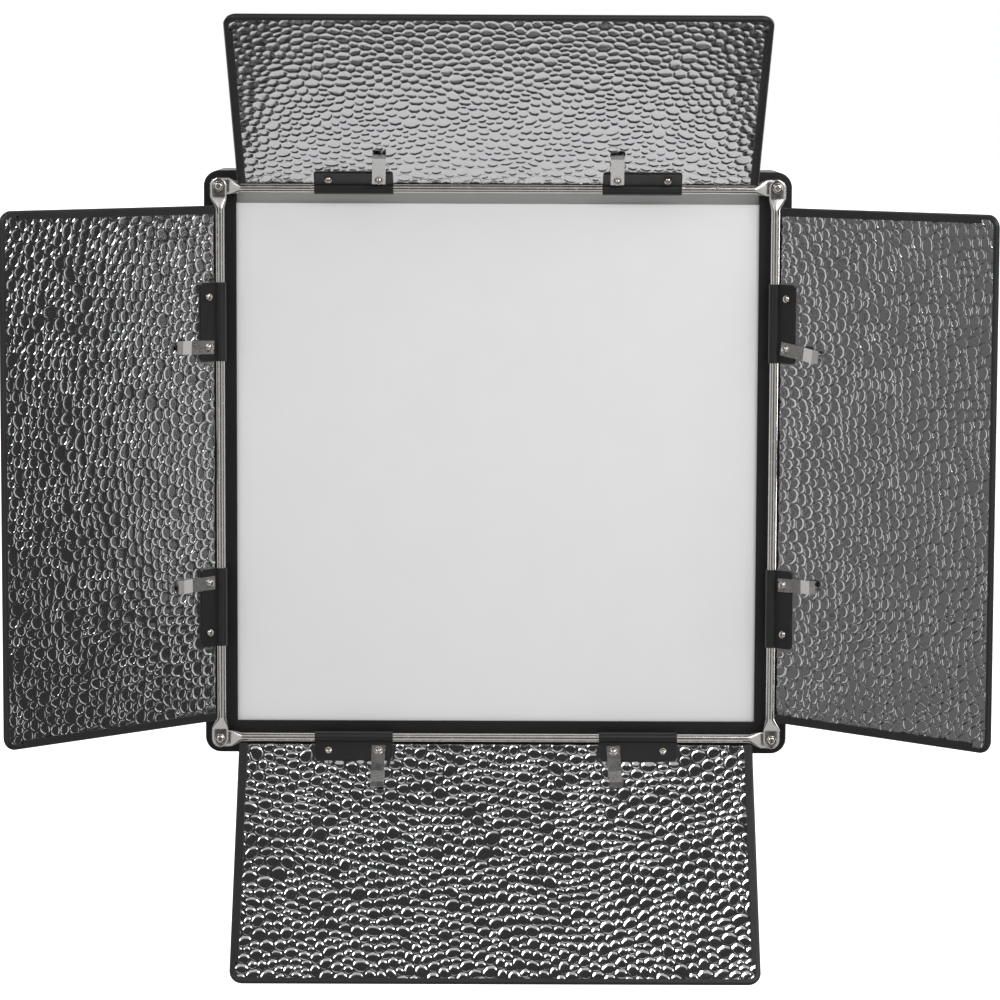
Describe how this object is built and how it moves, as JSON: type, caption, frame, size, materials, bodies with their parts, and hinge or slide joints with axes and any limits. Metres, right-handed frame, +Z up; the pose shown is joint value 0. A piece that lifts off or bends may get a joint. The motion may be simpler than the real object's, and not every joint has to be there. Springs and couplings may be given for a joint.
{
  "type": "led panel light",
  "caption": "Square soft panel lamp head with folding hammered barn doors, swinging gel clips, slide-in diffusion filter, and a yoke with stand receiver.",
  "frame": {"origin": "centre of the mouth of the stand socket, behind the lamp head", "axes": "+Y out of the stand socket, away from the lamp head, which shines towards -Y; +Z up; +X to the right seen from the front of the beam looking at +Y"},
  "size_m": [0.5511, 0.4016, 0.5435],
  "materials": {
    "housing_coat": "satin",
    "bezel_coat": "satin",
    "door_coat": "satin",
    "leaf_coat": "satin",
    "yoke_coat": "matte",
    "hammered_aluminium": "polished",
    "nickel_rod": "polished",
    "nickel_screw": "gloss",
    "clip_steel": "satin",
    "black_screw": "satin",
    "spacer_nylon": "matte",
    "filter_acrylic": "matte",
    "opal_acrylic": "satin",
    "white_sheet": "matte",
    "lamp_board": "satin",
    "phosphor": "gloss",
    "bare_aluminium": "satin",
    "driver_laminate": "satin",
    "component_case": "matte",
    "box_plastic": "matte",
    "window_acrylic": "gloss",
    "pot_metal": "satin",
    "knob_plastic": "matte",
    "rocker_plastic": "gloss",
    "switch_plastic": "satin",
    "inlet_metal": "satin",
    "receiver_cast": "satin",
    "stud_steel": "satin",
    "shoe_brass": "satin"
  },
  "bodies": {
    "yoke": {"yoke_bracket": "yoke_coat", "stand_receiver": "receiver_cast", "receiver_bolts": "black_screw"},
    "lock_shoe": {"lock_shoe": "shoe_brass"},
    "lock_knob": {"lock_knob": "knob_plastic", "lock_stud": "stud_steel"},
    "tilt_knob_left": {"tilt_knob_left": "knob_plastic", "tilt_stud_left": "stud_steel"},
    "tilt_knob_right": {"tilt_knob_right": "knob_plastic", "tilt_stud_right": "stud_steel"},
    "head": {"housing_shell": "housing_coat", "back_cover": "housing_coat", "front_bezel": "bezel_coat", "filter_rails": "bezel_coat", "inner_diffuser": "opal_acrylic", "light_box": "white_sheet", "led_board": "lamp_board", "led_chips": "phosphor", "heat_spreader": "bare_aluminium", "driver_board": "driver_laminate", "driver_parts": "component_case", "pivot_bosses": "bare_aluminium", "housing_screws": "black_screw", "control_box": "box_plastic", "display_window": "window_acrylic", "control_pots": "pot_metal", "switch_body": "switch_plastic", "power_inlet": "inlet_metal", "door_rods": "nickel_rod", "corner_spacers": "spacer_nylon", "corner_screws": "nickel_screw"},
    "filter": {"diffusion_filter": "filter_acrylic"},
    "dimmer_knob": {"dimmer_knob": "knob_plastic"},
    "colour_knob": {"colour_knob": "knob_plastic"},
    "power_rocker": {"power_rocker": "rocker_plastic"},
    "door_top": {"door_top_sheet": "door_coat", "door_top_reflector": "hammered_aluminium", "door_top_leaves": "leaf_coat", "door_top_fasteners": "nickel_screw"},
    "clip_top_a": {"clip_top_a": "clip_steel"},
    "clip_top_b": {"clip_top_b": "clip_steel"},
    "door_left": {"door_left_sheet": "door_coat", "door_left_reflector": "hammered_aluminium", "door_left_leaves": "leaf_coat", "door_left_fasteners": "nickel_screw"},
    "clip_left_a": {"clip_left_a": "clip_steel"},
    "clip_left_b": {"clip_left_b": "clip_steel"},
    "door_right": {"door_right_sheet": "door_coat", "door_right_reflector": "hammered_aluminium", "door_right_leaves": "leaf_coat", "door_right_fasteners": "nickel_screw"},
    "clip_right_a": {"clip_right_a": "clip_steel"},
    "clip_right_b": {"clip_right_b": "clip_steel"},
    "door_bottom": {"door_bottom_sheet": "door_coat", "door_bottom_reflector": "hammered_aluminium", "door_bottom_leaves": "leaf_coat", "door_bottom_fasteners": "nickel_screw"},
    "clip_bottom_a": {"clip_bottom_a": "clip_steel"},
    "clip_bottom_b": {"clip_bottom_b": "clip_steel"}
  },
  "joints": [
    {"name": "head_tilt", "type": "hinge", "parent": "yoke", "child": "head", "pos_m": [0, -0.238, 0], "axis": [1, 0, 0], "range_deg": [-90, 90]},
    {"name": "lock_travel", "type": "slide", "parent": "yoke", "child": "lock_shoe", "axis": [-1, 0, 0], "range_m": [0, 0.0025]},
    {"name": "lock_turn", "type": "hinge", "parent": "lock_shoe", "child": "lock_knob", "pos_m": [0.00805, -0.016, 0], "axis": [-1, 0, 0], "range_deg": [0, 720]},
    {"name": "tilt_clamp_left", "type": "hinge", "parent": "head", "child": "tilt_knob_left", "pos_m": [-0.1746, -0.238, 0], "axis": [-1, 0, 0], "range_deg": [0, 180]},
    {"name": "tilt_clamp_right", "type": "hinge", "parent": "head", "child": "tilt_knob_right", "pos_m": [0.1746, -0.238, 0], "axis": [1, 0, 0], "range_deg": [0, 180]},
    {"name": "filter_slide", "type": "slide", "parent": "head", "child": "filter", "axis": [0, 0, 1], "range_m": [0, 0.3]},
    {"name": "dimmer_turn", "type": "hinge", "parent": "head", "child": "dimmer_knob", "pos_m": [0.03, -0.18, -0.095], "axis": [0, 1, 0], "range_deg": [-135, 135]},
    {"name": "colour_turn", "type": "hinge", "parent": "head", "child": "colour_knob", "pos_m": [0.068, -0.18, -0.095], "axis": [0, 1, 0], "range_deg": [-135, 135]},
    {"name": "power_rock", "type": "hinge", "parent": "head", "child": "power_rocker", "pos_m": [-0.078, -0.184, -0.095], "axis": [1, 0, 0], "range_deg": [0, 16]},
    {"name": "door_top_swing", "type": "hinge", "parent": "head", "child": "door_top", "pos_m": [0, -0.276, 0.16], "axis": [1, 0, 0], "range_deg": [-52.5, 127.5]},
    {"name": "clip_top_a_swivel", "type": "hinge", "parent": "door_top", "child": "clip_top_a", "pos_m": [-0.0685, -0.28368, 0.16526], "axis": [0, -0.6088, -0.7934], "range_deg": [-75, 75]},
    {"name": "clip_top_b_swivel", "type": "hinge", "parent": "door_top", "child": "clip_top_b", "pos_m": [0.0685, -0.28368, 0.16526], "axis": [0, -0.6088, -0.7934], "range_deg": [-75, 75]},
    {"name": "door_left_swing", "type": "hinge", "parent": "head", "child": "door_left", "pos_m": [-0.16, -0.2776, 0], "axis": [0, 0, 1], "range_deg": [-44.5, 107.5]},
    {"name": "clip_left_a_swivel", "type": "hinge", "parent": "door_left", "child": "clip_left_a", "pos_m": [-0.16628, -0.28447, -0.0685], "axis": [0.7009, -0.7133, 0], "range_deg": [-75, 75]},
    {"name": "clip_left_b_swivel", "type": "hinge", "parent": "door_left", "child": "clip_left_b", "pos_m": [-0.16628, -0.28447, 0.0685], "axis": [0.7009, -0.7133, 0], "range_deg": [-75, 75]},
    {"name": "door_right_swing", "type": "hinge", "parent": "head", "child": "door_right", "pos_m": [0.16, -0.2776, 0], "axis": [0, 0, -1], "range_deg": [-43.6, 108.4]},
    {"name": "clip_right_a_swivel", "type": "hinge", "parent": "door_right", "child": "clip_right_a", "pos_m": [0.16639, -0.28438, 0.0685], "axis": [-0.6896, -0.7242, 0], "range_deg": [-75, 75]},
    {"name": "clip_right_b_swivel", "type": "hinge", "parent": "door_right", "child": "clip_right_b", "pos_m": [0.16639, -0.28438, -0.0685], "axis": [-0.6896, -0.7242, 0], "range_deg": [-75, 75]},
    {"name": "door_bottom_swing", "type": "hinge", "parent": "head", "child": "door_bottom", "pos_m": [0, -0.276, -0.16], "axis": [-1, 0, 0], "range_deg": [-38.7, 141.3]},
    {"name": "clip_bottom_a_swivel", "type": "hinge", "parent": "door_bottom", "child": "clip_bottom_a", "pos_m": [0.0685, -0.2822, -0.16695], "axis": [0, -0.7804, 0.6252], "range_deg": [-75, 75]},
    {"name": "clip_bottom_b_swivel", "type": "hinge", "parent": "door_bottom", "child": "clip_bottom_b", "pos_m": [-0.0685, -0.2822, -0.16695], "axis": [0, -0.7804, 0.6252], "range_deg": [-75, 75]}
  ],
  "couplings": [
    {"joint": "lock_turn", "follows": "lock_travel", "rad_per_m": 5026.5}
  ]
}
